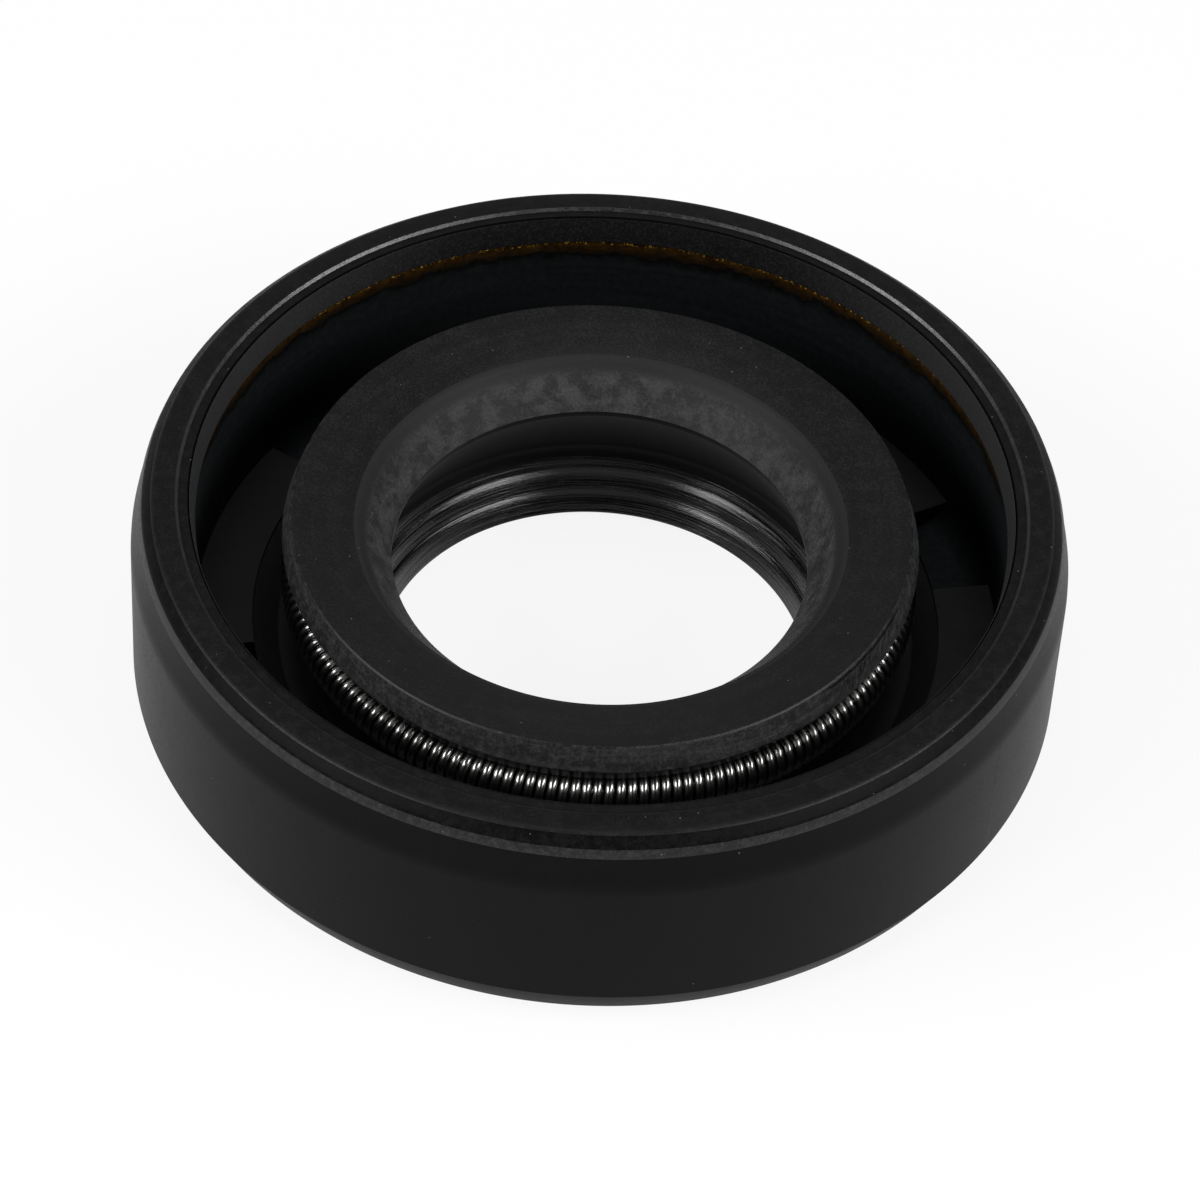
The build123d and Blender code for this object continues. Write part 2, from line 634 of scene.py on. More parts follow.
def build_fissures() -> None:
    """Builds a torn line round one bearing, with slanted scratches below it."""
    nodes, given, result = FISSURES.start()
    place = nodes.place()
    outward, radius, height = nodes.cylinder(place)
    turn = nodes.turn_from(outward, given["Bearing"])
    rough = nodes.noise(place, scale=2.5, detail=4.0, roughness=0.6)
    wander = nodes.math("MULTIPLY_ADD", rough, FISSURE_WANDER, -FISSURE_WANDER / 2)
    drop = nodes.math("SUBTRACT", nodes.math("ADD", given["Height"], wander), height)
    line = nodes.ramp(nodes.math("ABSOLUTE", drop), *FISSURE_WIDTHS, 1.0, 0.0)
    skewed = nodes.math("MULTIPLY_ADD", drop, SCRATCH_LEAN, nodes.math("MULTIPLY", turn, radius))
    spot = nodes.join(nodes.math("MULTIPLY", skewed, SCRATCH_FINENESS),
                      nodes.math("MULTIPLY", drop, SCRATCH_CURVE), 0.0)
    marks = nodes.noise(spot, scale=1.0, detail=3.0, roughness=0.6)
    scratch = nodes.ramp(marks, *SCRATCH_EDGES, 0.0, SCRATCH_STRENGTH)
    scratch = nodes.math("MULTIPLY", scratch, nodes.ramp(drop, *SCRATCH_START))
    scratch = nodes.math("MULTIPLY", scratch, nodes.ramp(drop, *SCRATCH_END, 1.0, 0.0))
    torn = nodes.math("MAXIMUM", line, scratch)
    near = nodes.near(turn, given["Spread"], whole=0.7)
    nodes.feed(result.inputs["Fissure"], nodes.math("MULTIPLY", torn, near))


# ------------------------------------------------------------------------------------- finishes

DUST_COLOUR = grey(0.3)
DUST_STRENGTH = 0.35
TORN_COLOUR = grey(0.001)
TORN_DEPTH = 0.05
FLECK_EDGES = (0.4, 0.65)  # the grain at which a fleck is darkest, and palest
SIDE_HIGHLIGHT_EDGES = (0.3, 1.0)  # how far to the side the painted highlight starts to make the rubber paler, and is whole
FADE_WANDER = 0.12  # how far down the clouds shift the edge of a faded surface
GRAIN_WOBBLE = 0.12  # by which the grain changes the roughness


@dataclass(frozen=True)
class RubberFinish:
    """One finish of the black rubber.

    Attributes:
        base: Linear brightness of the bare rubber. On the pads, the trough and the lip's edge it is
            raised as painted light.
        bloom: Linear brightness where the surface is scuffed or bloomed. On the pads, the trough and
            the lip's edge it is raised as painted light, and on the strip it is the painted side
            highlight.
        bloom_share: How much of the bloom shows where it is strongest.
        cloud_scale: Clouds of bloom per millimetre.
        roughness: Roughness of the bare rubber and of its bloom.
        gloss: The specular level.
        grain_scale: Grains per millimetre.
        grain_depth: Depth of the grain.
        streak_fineness: Streaks per millimetre across the rings they follow.
        streak_length: The lower, the longer the streaks are.
        streak_share: How much the streaks show in colour and roughness.
        streak_depth: Depth of the streaks.
        scuff_bearing: Where the slanted scuffs are, in degrees.
        scuff_share: How much of them shows.
        scuff_depth: Depth of the scuffs.
        side_share: How much paler the surface is at the left and right than at front and
        back, as a painted highlight.
        fade: Heights between which the bloom, streaks and scuffs fade out upwards.
        fissure: Bearing and height of a torn line, with its spread, if there is one.
        speckle: How much the grain shows in colour.
        dust_share: The share of dust cells that hold a speck.
    """

    base: float = 0.006
    bloom: float = 0.02
    bloom_share: float = 0.3
    cloud_scale: float = 0.9
    roughness: Pair = (0.45, 0.6)
    gloss: float = 0.3
    grain_scale: float = 14.0
    grain_depth: float = 0.004
    streak_fineness: float = 9.0
    streak_length: float = 2.0
    streak_share: float = 0.0
    streak_depth: float = 0.0
    scuff_bearing: float = 0.0
    scuff_share: float = 0.0
    scuff_depth: float = 0.006
    side_share: float = 0.0
    fade: Pair | None = None
    fissure: Triple | None = None
    speckle: float = 0.3
    dust_share: float = 0.02

    def bloom_mask(self, nodes: Dressing, grain: Outputs, marks: list[Mark]) -> bpy.types.NodeSocket:
        """Gathers everything that makes the rubber paler, the painted side highlight included.

        Args:
            nodes: The material's node tree.
            grain: The outputs of the grain.
            marks: Each mask that is added, with how much of it shows.

        Returns:
            How much of the bloom's colour and roughness shows, from 0 to 1.
        """
        half = self.speckle / 2
        fleck = nodes.ramp(grain["Grain"], *FLECK_EDGES, -half, half)
        mask = nodes.math("MULTIPLY_ADD", grain["Cloud"], self.bloom_share, fleck, clamp=True)
        for mark, share in marks:
            mask = nodes.math("ADD", mask, nodes.math("MULTIPLY", mark, share), clamp=True)
        # Painted highlight: paler towards the left and right sides, where light falls on the surface.
        if self.side_share:
            sideways = nodes.split(nodes.cylinder(nodes.place())[0])["X"]
            side_highlight_mask = nodes.ramp(nodes.math("ABSOLUTE", sideways), *SIDE_HIGHLIGHT_EDGES, 0.0, self.side_share)
            mask = nodes.math("ADD", mask, side_highlight_mask, clamp=True)
        if self.fade:
            height = nodes.cylinder(nodes.place())[2]
            level = nodes.math("MULTIPLY_ADD", grain["Cloud"], FADE_WANDER, height)
            mask = nodes.math("MULTIPLY", mask, nodes.ramp(level, *self.fade, 1.0, 0.0))
        return mask

    def material(self, name: str) -> bpy.types.Material:
        """Builds the material.

        Args:
            name: The material's name.

        Returns:
            The new material.
        """
        nodes = Dressing(name)
        grain = GRAIN.use(nodes, scale=self.grain_scale, cloud_scale=self.cloud_scale)
        height = nodes.math("MULTIPLY", grain["Grain"], self.grain_depth)
        marks: list[Mark] = []
        if self.streak_share or self.streak_depth:
            streaks = RING_STREAKS.use(nodes, fineness=self.streak_fineness, length=self.streak_length)
            marks.append((streaks["Streak"], self.streak_share))
            height = nodes.math("MULTIPLY_ADD", streaks["Streak"], self.streak_depth, height)
        if self.scuff_share:
            scuffs = SCUFFS.use(nodes, bearing=self.scuff_bearing)
            marks.append((scuffs["Scuff"], self.scuff_share))
            height = nodes.math("MULTIPLY_ADD", scuffs["Scuff"], self.scuff_depth, height)
        mask = self.bloom_mask(nodes, grain, marks)
        colour = nodes.mix(mask, grey(self.base), grey(self.bloom))
        if self.fissure:
            bearing, level, spread = self.fissure
            torn = FISSURES.use(nodes, bearing=bearing, height=level, spread=spread)["Fissure"]
            colour = nodes.mix(torn, colour, TORN_COLOUR)
            height = nodes.math("MULTIPLY_ADD", torn, -TORN_DEPTH, height)
        speck = DUST.use(nodes, share=self.dust_share)["Speck"]
        colour = nodes.mix(nodes.math("MULTIPLY", speck, DUST_STRENGTH), colour, DUST_COLOUR)
        rough = nodes.ramp(mask, 0.0, 1.0, *self.roughness)
        wobble = nodes.math("MULTIPLY_ADD", grain["Grain"], GRAIN_WOBBLE, -GRAIN_WOBBLE / 2)
        rough = nodes.math("ADD", rough, wobble, clamp=True)
        nodes.give(nodes.shader, base_color=colour, roughness=rough, specular_ior_level=self.gloss)
        nodes.relief(height)
        return nodes.material


RUBBER_FINISHES = {
    Surface.BONDED: RubberFinish(),
    Surface.BACK: RubberFinish(gloss=0.15, streak_share=0.1),
    Surface.FOOT: RubberFinish(base=0.003, bloom=0.006, gloss=0.03),
    Surface.OUTSIDE: RubberFinish(base=0.0016, bloom=0.004, gloss=0.075, roughness=(0.42, 0.52)),
    Surface.FACET: RubberFinish(
        base=0.004, bloom=0.022, bloom_share=0.8, cloud_scale=5.0, gloss=0.3, speckle=0.9,
        dust_share=0.25),
    Surface.BEVEL: RubberFinish(
        base=0.0015, bloom=0.007, bloom_share=0.7, cloud_scale=3.5, gloss=0.05, speckle=0.5,
        streak_share=0.1, dust_share=0.2),
    Surface.RIM: RubberFinish(
        base=0.0015, bloom=0.007, bloom_share=0.5, cloud_scale=3.0, gloss=0.27, speckle=0.5,
        streak_share=0.12, streak_fineness=4.0, dust_share=0.16),
    Surface.RIM_EDGE: RubberFinish(
        base=0.002, bloom=0.01, bloom_share=0.8, cloud_scale=5.0, gloss=0.8, roughness=(0.3, 0.45),
        speckle=0.6),
    Surface.LEDGE: RubberFinish(
        base=0.0015, bloom=0.006, bloom_share=0.5, cloud_scale=3.0, gloss=0.22, speckle=0.5),
    # The strip is paler at the left and right as a painted highlight.
    Surface.STRIP: RubberFinish(
        base=0.005, bloom=0.024, bloom_share=0.25, cloud_scale=8.0, gloss=0.15, speckle=0.4,
        side_share=0.9),
    # Painted light: the pads and the trough are far paler than the other rubber, for light that hardly
    # reaches so deep.
    Surface.FLOOR: RubberFinish(base=0.025, bloom=0.04),
    Surface.TROUGH: RubberFinish(base=0.05, bloom=0.07),
    Surface.GROOVE: RubberFinish(base=0.002, bloom=0.004, gloss=0.03),
    Surface.LIP_SIDE: RubberFinish(
        base=0.01, bloom=0.036, bloom_share=0.6, cloud_scale=5.0, roughness=(0.55, 0.75),
        speckle=0.5, streak_share=0.4, streak_depth=0.005, dust_share=0.08,
        fissure=(-31.0, 5.77, 14.0)),
    # Partly a painted highlight: the head's edge is much paler than the lip's top, besides its own gloss.
    Surface.LIP_EDGE: RubberFinish(
        base=0.006, bloom=0.028, bloom_share=0.9, cloud_scale=3.0, gloss=0.2, roughness=(0.4, 0.5),
        speckle=0.6),
    Surface.LIP_TOP: RubberFinish(
        base=0.002, bloom=0.007, bloom_share=0.5, cloud_scale=1.5, gloss=0.4,
        roughness=(0.38, 0.48), speckle=0.8, streak_share=0.25, streak_fineness=2.5,
        streak_length=1.0, dust_share=0.1),
    Surface.OIL_CONE: RubberFinish(
        base=0.02, bloom=0.06, bloom_share=0.7, cloud_scale=2.0, gloss=0.1, roughness=(0.55, 0.75),
        speckle=0.4, streak_share=0.1, streak_fineness=12.0, scuff_share=0.4, dust_share=0.08,
        fade=(5.25, 5.5)),
    Surface.UNDERCUT: RubberFinish(base=0.001, bloom=0.003, gloss=0.06),
    Surface.AIR_SIDE: RubberFinish(
        base=0.0015, bloom=0.004, gloss=0.85, roughness=(0.12, 0.18), streak_share=0.25,
        streak_depth=0.0016, streak_fineness=26.0, streak_length=0.5),
}


@dataclass(frozen=True)
class CaseSteelFinish:
    """Dark drawn steel, with an amber edge of bonding agent under the rubber.

    Attributes:
        steel: Linear colour of the steel.
        cloud: Its colour where it is clouded.
        cloud_share: How much of the clouds shows.
        amber: Colour of the bonding agent at its upper edge.
        thin: Its colour where it thins out below.
        glint: Colour of its bright specks.
        amber_top: Height of its upper edge, in millimetres above the back.
        amber_width: Its usual width.
        amber_fade: How far below and above its lower edge it thins out.
        patch_edges: The noise at which a patch is thinnest, and whole.
        patch_least: How much of the colour the thinnest patch keeps.
        glint_band: How far below the upper edge the specks start, and are whole.
        glint_edges: The noise at which a speck starts, and is whole.
        glint_share: How much of the specks shows.
        cover: How far into the amber band the metal starts to be covered, and is covered.
        metal: How metallic the bare steel is.
        gloss: The specular level of the covered steel.
        roughness: Roughness of the steel, and how much streaks add to it.
        grain_depth: Depth of the grain.
    """

    steel: Colour = (0.032, 0.037, 0.04, 1.0)
    cloud: Colour = grey(0.02)
    cloud_share: float = 0.5
    amber: Colour = (0.04, 0.018, 0.002, 1.0)
    thin: Colour = (0.005, 0.0025, 0.0005, 1.0)
    glint: Colour = (0.45, 0.26, 0.03, 1.0)
    amber_top: float = 5.84
    amber_width: float = 0.5
    amber_fade: Pair = (0.3, 0.2)
    patch_edges: Pair = (0.35, 0.65)
    patch_least: float = 0.15
    glint_band: Pair = (0.14, 0.05)
    glint_edges: Pair = (0.54, 0.66)
    glint_share: float = 0.9
    cover: Pair = (0.75, 1.0)
    metal: float = 0.96
    gloss: float = 0.1
    roughness: Pair = (0.55, 0.05)
    grain_depth: float = 0.002

    def amber_colour(self, nodes: Dressing, place: bpy.types.NodeSocket,
                     height: bpy.types.NodeSocket) -> bpy.types.NodeSocket:
        """Builds the bonding agent's patchy colour, with its bright specks.

        Args:
            nodes: The material's node tree.
            place: The place, in millimetres.
            height: Its height.

        Returns:
            The colour.
        """
        top = self.amber_top
        thick = nodes.ramp(height, top - self.amber_width, top)
        patches = nodes.noise(place, scale=3.0, detail=5.0, roughness=0.75)
        patchy = nodes.ramp(patches, *self.patch_edges, self.patch_least, 1.0)
        colour = nodes.mix(nodes.math("MULTIPLY", thick, patchy), self.thin, self.amber)
        start, whole = (top - drop for drop in self.glint_band)
        specks = nodes.noise(place, scale=9.0, detail=3.0, roughness=0.7)
        bright = nodes.math("MULTIPLY", nodes.ramp(height, start, whole),
                            nodes.ramp(specks, *self.glint_edges))
        return nodes.mix(nodes.math("MULTIPLY", bright, self.glint_share), colour, self.glint)

    def material(self, name: str) -> bpy.types.Material:
        """Builds the material.

        Args:
            name: The material's name.

        Returns:
            The new material.
        """
        nodes = Dressing(name)
        grain = GRAIN.use(nodes, scale=9.0, cloud_scale=5.0)
        streaks = RING_STREAKS.use(nodes, fineness=7.0, length=1.5)
        place = nodes.place()
        height = nodes.cylinder(place)[2]
        ragged = nodes.noise(place, scale=1.2, detail=5.0, roughness=0.7)
        edge = nodes.math("SUBTRACT", self.amber_top, nodes.math("MULTIPLY", ragged, self.amber_width * 2))
        below, above = self.amber_fade
        band = nodes.ramp(height, nodes.math("SUBTRACT", edge, below), nodes.math("ADD", edge, above))
        clouds = nodes.math("MULTIPLY", grain["Cloud"], self.cloud_share)
        steel = nodes.mix(clouds, self.steel, self.cloud)
        even, streaky = self.roughness
        nodes.give(
            nodes.shader,
            base_color=nodes.mix(band, steel, self.amber_colour(nodes, place, height)),
            metallic=nodes.ramp(band, *self.cover, self.metal, 0.0),
            roughness=nodes.math("MULTIPLY_ADD", streaks["Streak"], streaky, even),
            specular_ior_level=self.gloss,
        )
        nodes.relief(nodes.math("MULTIPLY", grain["Grain"], self.grain_depth))
        return nodes.material


@dataclass(frozen=True)
class SpringWireFinish:
    """Bright drawn spring wire with a little oil grime.

    Attributes:
        wire: Colour of the clean wire.
        grime: Colour of the grime.
        grime_share: How much of the grime shows.
        roughness: Roughness of the wire, and how much the grain adds to it.
        grain_depth: Depth of the grain.
    """

    wire: Colour = (0.4, 0.395, 0.385, 1.0)
    grime: Colour = (0.1, 0.098, 0.095, 1.0)
    grime_share: float = 0.35
    roughness: Pair = (0.2, 0.06)
    grain_depth: float = 0.0005

    def material(self, name: str) -> bpy.types.Material:
        """Builds the material.

        Args:
            name: The material's name.

        Returns:
            The new material.
        """
        nodes = Dressing(name)
        grain = GRAIN.use(nodes, scale=18.0, cloud_scale=2.5)
        dull = nodes.math("MULTIPLY", grain["Cloud"], self.grime_share)
        even, grainy = self.roughness
        nodes.give(
            nodes.shader,
            base_color=nodes.mix(dull, self.wire, self.grime),
            metallic=1.0,
            roughness=nodes.math("MULTIPLY_ADD", grain["Grain"], grainy, even),
        )
        nodes.relief(nodes.math("MULTIPLY", grain["Grain"], self.grain_depth))
        return nodes.material


@dataclass(frozen=True)
class PaperFinish:
    """White paper, whose own light hides most of its shading from the camera.

    Attributes:
        brightness: Linear brightness, between the fibres and on them.
        roughness: Roughness, in the same way.
        fibre_edges: The noise at which the roughness starts to change, and has changed.
        white: How much of plain white it shows over its own light and shadow.
    """

    brightness: Pair = (0.93, 0.95)
    roughness: Pair = (0.85, 0.95)
    fibre_edges: Pair = (0.3, 0.7)
    white: float = 0.85

    def material(self, name: str) -> bpy.types.Material:
        """Builds the material.

        Args:
            name: The material's name.

        Returns:
            The new material.
        """
        nodes = Dressing(name)
        fibre = nodes.noise(nodes.place(), scale=6.0, detail=3.0, roughness=0.5)
        nodes.give(
            nodes.shader,
            base_color=nodes.mix(fibre, *(grey(level) for level in self.brightness)),
            roughness=nodes.ramp(fibre, *self.fibre_edges, *self.roughness),
            specular_ior_level=0.0,
        )
        rays = nodes.add("ShaderNodeLightPath").outputs
        seen = nodes.math("MAXIMUM", rays["Is Camera Ray"], rays["Is Glossy Ray"])
        seen = nodes.math("MAXIMUM", seen, rays["Is Transmission Ray"])
        share = nodes.math("MULTIPLY", seen, self.white)
        white = nodes.add("ShaderNodeEmission").outputs["Emission"]
        blend = nodes.fill("ShaderNodeMixShader", (share, nodes.shader.outputs["BSDF"], white))
        nodes.give(nodes.tree.nodes["Material Output"], surface=blend.outputs["Shader"])
        return nodes.material


# --------------------------------------------------------------------------------------- pieces


@dataclass
class MetalCase:
    """The drawn steel case: a cylinder, and a flange turned inwards at its foot.

    Attributes:
        outer_radius: Outside radius of the cylinder.
        thickness: Thickness of the sheet.
        bend: Inside radius of the bend.
        bottom: Height of the flange's underside.
        top: Height of the cylinder's free edge.
        eye_radius: Radius of the flange's hole.
        columns: Faces round the axis.
        arc_step: The most degrees from one ring of the bend to the next.
        sharp_angle: Edges that turn by more degrees than this stay sharp.
    """

    outer_radius: float = 11.86
    thickness: float = 0.8
    bend: float = 1.0
    bottom: float = 0.7
    top: float = 5.95
    eye_radius: float = 8.95
    columns: int = 440
    arc_step: float = 11.25
    sharp_angle: float = 35.0

    @property
    def inner_radius(self) -> float:
        """Inside radius of the cylinder."""
        return self.outer_radius - self.thickness

    @property
    def flange_top(self) -> float:
        """Height of the flange's upper side."""
        return self.bottom + self.thickness

    @property
    def bend_centre(self) -> Pair:
        """Radius and height of the bend's centre."""
        return self.inner_radius - self.bend, self.flange_top + self.bend

    def inner_bend(self) -> list[Corner]:
        """Gives the bend's inside, from the cylinder down."""
        return arc_corners(self.bend_centre, self.bend, 0, -90, self.arc_step)

    def outer_bend(self) -> list[Corner]:
        """Gives the bend's outside, from the flange up."""
        return arc_corners(self.bend_centre, self.bend + self.thickness, -90, 0, self.arc_step)

    def build(self) -> bpy.types.Object:
        """Turns the case.

        Returns:
            The finished piece.
        """
        rings = section_rings([
            Corner(self.eye_radius, self.bottom),
            *self.outer_bend(),
            Corner(self.outer_radius, self.top),
            Corner(self.inner_radius, self.top),
            *self.inner_bend(),
            Corner(self.eye_radius, self.flange_top),
        ])
        points: list[Triple] = []
        for column in range(self.columns):
            bearing = tau * column / self.columns
            points += [(ring.place[0] * cos(bearing), ring.place[0] * sin(bearing), ring.place[1])
                       for ring in rings]
        piece = mesh_piece("drawn_case", points, loop_faces(self.columns, len(rings)))
        piece.data.materials.append(CaseSteelFinish().material("case_steel"))
        smooth(piece, self.sharp_angle)
        return piece


@dataclass
class GarterSpring:
    """The endless close-wound spring round the lip's head.

    Attributes:
        ring_radius: Radius of the ring that its centre line makes.
        height: Height of that ring.
        coil_diameter: Outside diameter of the coil.
        wire: Diameter of the wire.
        turns: Turns of wire in the whole ring.
        steps: Cross-sections for each turn.
        sides: Faces round the wire.
        play: How far a turn may stand off its even place, as a share of the pitch.
        unevenness: How often that changes round the ring.
        pattern: Picks one pattern of such changes from all others.
    """

    ring_radius: float = 8.0
    height: float = 3.83
    coil_diameter: float = 1.3
    wire: float = 0.25
    turns: int = 176
    steps: int = 26
    sides: int = 10
    play: float = 0.07
    unevenness: float = 14.0
    pattern: float = 0.3

    def wire_frame(self, share: float) -> tuple[Vector, Vector, Vector]:
        """Finds one cross-section of the wire.

        Args:
            share: How far along the whole wire it is, from 0 to 1.

        Returns:
            Its centre, the direction out of the coil, and the direction across the turn.
        """
        coil_radius = (self.coil_diameter - self.wire) / 2
        even_angle, lobes = tau * share, self.unevenness
        spot = Vector((cos(even_angle) * lobes, sin(even_angle) * lobes, self.pattern))
        wander = noise.noise(spot)
        ring_angle = tau * (share + self.play * wander / self.turns)
        coil_angle = tau * share * self.turns
        outward = Vector((cos(ring_angle), sin(ring_angle), 0))
        onward = Vector((-sin(ring_angle), cos(ring_angle), 0))
        upward = Vector((0, 0, 1))
        out = outward * cos(coil_angle) + upward * sin(coil_angle)
        turning = upward * cos(coil_angle) - outward * sin(coil_angle)
        centre = outward * self.ring_radius + upward * self.height + out * coil_radius
        reach = self.ring_radius + coil_radius * cos(coil_angle)
        along = (onward * reach + turning * coil_radius * self.turns).normalized()
        return centre, out, along.cross(out)

    def build(self) -> bpy.types.Object:
        """Winds the wire.

        Returns:
            The finished piece.
        """
        count = self.turns * self.steps
        points: list[Triple] = []
        for index in range(count):
            centre, out, across = self.wire_frame(index / count)
            for side in range(self.sides):
                angle = tau * side / self.sides
                point = centre + (out * cos(angle) + across * sin(angle)) * (self.wire / 2)
                points.append(tuple(point))
        piece = mesh_piece("wound_spring", points, loop_faces(count, self.sides, flipped=True))
        piece.data.materials.append(SpringWireFinish().material("spring_wire"))
        piece.data.shade_smooth()
        return piece


@dataclass
class RubberBody:
    """The one rubber moulding, bonded round the case.

    A pair is a radius and a height, unless its line says otherwise. Near the rim it says how far
    a corner lies in the rubber from the side, outer or inner, and how far down from the top.

    Attributes:
        case: The case that it covers.
        spring: The spring that its groove holds.
        outer_radius: Free radius of the outside.
        width: Height of the whole seal.
        recess_rim: Inner edge of the flat ring that the seal lies on.
        back_bevel: The bevel at the back, inwards and up.
        lead_in_foot: Where the lead-in taper starts, near the rim.
        lead_in_top: Where it ends.
        facet_foot: Lower edge of the facet above it.
        facet_top: Upper edge of that facet.
        bevel_top: Upper edge of the bevel above it.
        rim_overhang: How far the rim stands inwards of the case.
        rim_edge: Inner edge of the rim's flat.
        edge_bevel: Foot of the bevel inside it.
        notch_edge: Outer edge of the fine notch.
        notch_foot: Foot of that notch.
        strip_top: Upper edge of the strip inside the rim.
        pad_thickness: Thickness of the pads on the flange.
        pad_edge: Their inner radius.
        pad_side: Height of their upright side, above the slope into the trough.
        pocket_count: Pockets between the pads.
        pocket_angle: How wide a pocket is, in degrees.
        pocket_bearing: The middle of the first pocket, in degrees.
        trough_outer: Outer edge of the trough's floor.
        trough_inner: Its inner edge.
        neck_radius: Outside radius of the neck under the head.
        neck_heights: Heights of the neck's foot and head.
        groove_clearance: Between the spring and its groove.
        groove_foot: Where the groove ends below the spring, in degrees from outwards.
        groove_brow: Where it ends above the spring.
        groove_step: The most degrees from one ring of the groove to the next.
        brow: The head's brow over the groove.
        head_side: Upper edge of the head's side.
        head_top: Outer edge of the head's top.
        cone_top: Where the head's top turns down into the cone.
        lip_radius: Free radius of the sealing edge.
        land: Heights of the upper and the lower edge of the land that touches the shaft.
        crease: The crease between the main lip and the dust lip.
        dust_edge: Upper edge of the dust lip's tip.
        dust_foot: Lower edge of that tip.
        dust_rows: Rows of faces down the dust lip.
        crease_rows: How many of those the crease's rounding takes up.
        step_rise: Height of each soft step on the dust lip.
        step_width: Half the width of such a step.
        step_places: Distances of the two steps from the crease.
        recess_inner: Inner edge of the recess in the back.
        recess_outer: Its outer edge.
        columns: Even columns of faces round the axis.
        column_room: How near an even column may be to a pocket's end, as a share of its width.
        seam: Half the angle between the two columns at a pocket's end, in radians.
        sharp_angle: Edges that turn by more degrees than this stay sharp.
    """

    case: MetalCase
    spring: GarterSpring
    outer_radius: float = 12.65
    width: float = 6.8
    recess_rim: Pair = (8.8, 0.0)
    back_bevel: Pair = (0.52, 1.0)
    lead_in_foot: Pair = (0.0, 1.6)
    lead_in_top: Pair = (0.235, 0.64)
    facet_foot: Pair = (0.205, 0.61)
    facet_top: Pair = (0.32, 0.3)
    bevel_top: Pair = (0.6, 0.03)
    rim_overhang: float = 0.15
    rim_edge: Pair = (0.53, 0.0)
    edge_bevel: Pair = (0.45, 0.08)
    notch_edge: Pair = (0.2, 0.045)
    notch_foot: Pair = (0.17, 0.13)
    strip_top: Pair = (0.145, 0.055)
    pad_thickness: float = 0.6
    pad_edge: float = 9.4
    pad_side: float = 0.1
    pocket_count: int = 6
    pocket_angle: float = 17.5
    pocket_bearing: float = 19.8
    trough_outer: Pair = (8.68, 1.6)
    trough_inner: Pair = (8.0, 1.55)
    neck_radius: float = 7.75
    neck_heights: Pair = (1.95, 2.75)
    groove_clearance: float = 0.03
    groove_foot: float = 285.0
    groove_brow: float = 76.0
    groove_step: float = 12.0
    brow: Pair = (8.6, 5.2)
    head_side: Pair = (8.385, 5.873)
    head_top: Pair = (8.335, 5.914)
    cone_top: Pair = (6.55, 5.6)
    lip_radius: float = 5.64
    land: Pair = (4.39, 4.24)
    crease: Pair = (6.87, 1.86)
    dust_edge: Pair = (5.9, 0.17)
    dust_foot: Pair = (5.98, 0.09)
    dust_rows: int = 36
    crease_rows: int = 6
    step_rise: float = 0.035
    step_width: float = 0.1
    step_places: Pair = (0.76, 1.34)
    recess_inner: Pair = (6.48, 0.59)
    recess_outer: Pair = (8.5, 0.59)
    columns: int = 440
    column_room: float = 0.3
    seam: float = 1e-9
    sharp_angle: float = 40.0

    @property
    def pad_top(self) -> float:
        """Height of the pads' tops."""
        return self.case.flange_top + self.pad_thickness

    @property
    def rim_inner_radius(self) -> float:
        """Inner radius of the rim."""
        return self.case.inner_radius - self.rim_overhang

    def rim_corner(self, off: Pair, rounding: float, surface: Surface, rows: int = 1,
                   inner: bool = False) -> Corner:
        """Gives a corner near the rim.

        Args:
            off: How far it lies in the rubber from the side, and down from the rim's top.
            rounding: Radius of its fillet.
            surface: The surface that it starts.
            rows: Rows of faces on that surface.
            inner: Whether it is measured from the inner side.

        Returns:
            The corner.
        """
        radius = self.rim_inner_radius + off[0] if inner else self.outer_radius - off[0]
        return Corner(radius, self.width - off[1], rounding, surface, rows)

    def outside(self) -> list[Corner]:
        """Draws the section from the recess in the back, up the outside, to the rim.

        Returns:
            Its corners.
        """
        inset, rise = self.back_bevel
        return [
            Corner(*self.recess_rim, 0.08, Surface.BACK),
            Corner(self.outer_radius - inset, 0.0, 0.14, Surface.FOOT),
            Corner(self.outer_radius, rise, 0.05, Surface.OUTSIDE),
            self.rim_corner(self.lead_in_foot, 2.0, Surface.OUTSIDE),
            self.rim_corner(self.lead_in_top, 0.02, Surface.BEVEL),
            self.rim_corner(self.facet_foot, 0.03, Surface.FACET),
            self.rim_corner(self.facet_top, 0.25, Surface.BEVEL),
            self.rim_corner(self.bevel_top, 0.2, Surface.RIM, 3),
        ]

    def rim_inside(self) -> list[Corner]:
        """Draws the section down inside the rim, to the case's free edge.

        Returns:
            Its corners.
        """
        return [
            self.rim_corner(self.rim_edge, 0.02, Surface.RIM_EDGE, inner=True),
            self.rim_corner(self.edge_bevel, 0.02, Surface.LEDGE, 2, inner=True),
            self.rim_corner(self.notch_edge, 0.01, Surface.GROOVE, inner=True),
            self.rim_corner(self.notch_foot, 0.0, Surface.GROOVE, inner=True),
            self.rim_corner(self.strip_top, 0.01, Surface.STRIP, 2, inner=True),
            Corner(self.rim_inner_radius, self.case.top, 0.03),
        ]

